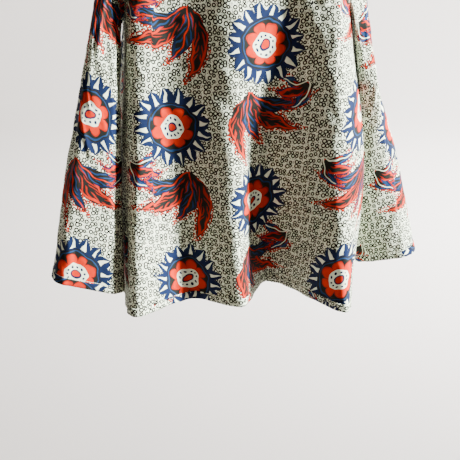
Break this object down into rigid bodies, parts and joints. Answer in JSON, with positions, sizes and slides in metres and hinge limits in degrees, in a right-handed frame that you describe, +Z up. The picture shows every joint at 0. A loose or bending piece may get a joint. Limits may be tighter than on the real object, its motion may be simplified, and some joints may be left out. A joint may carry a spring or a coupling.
{
  "type": "printed cotton blouse on a hanger",
  "caption": "A-line pullover blouse in printed cotton with long flared sleeves and a round neck, hanging in soft folds on a plain wooden hanger with a wire hook.",
  "frame": {"origin": "the point under the top of the hanger's hook where a rail or nail carries it", "axes": "+Z up, -Y out of the front of the blouse, +X to the right of someone who looks at the front"},
  "size_m": [0.5975, 0.1955, 0.7989],
  "materials": {
    "printed_cotton": "plain-woven cotton with a wax-type print in navy, blue, orange and black on cream, matt with a faint glaze",
    "varnished_beech": "smooth satin varnish",
    "plated_wire": "bright zinc-nickel plating on bent steel wire"
  },
  "bodies": {
    "root": {"front": "printed_cotton", "back": "printed_cotton", "sleeve_left": "printed_cotton", "sleeve_right": "printed_cotton", "hanger_bar": "varnished_beech", "hanger_hook": "plated_wire"}
  },
  "joints": []
}
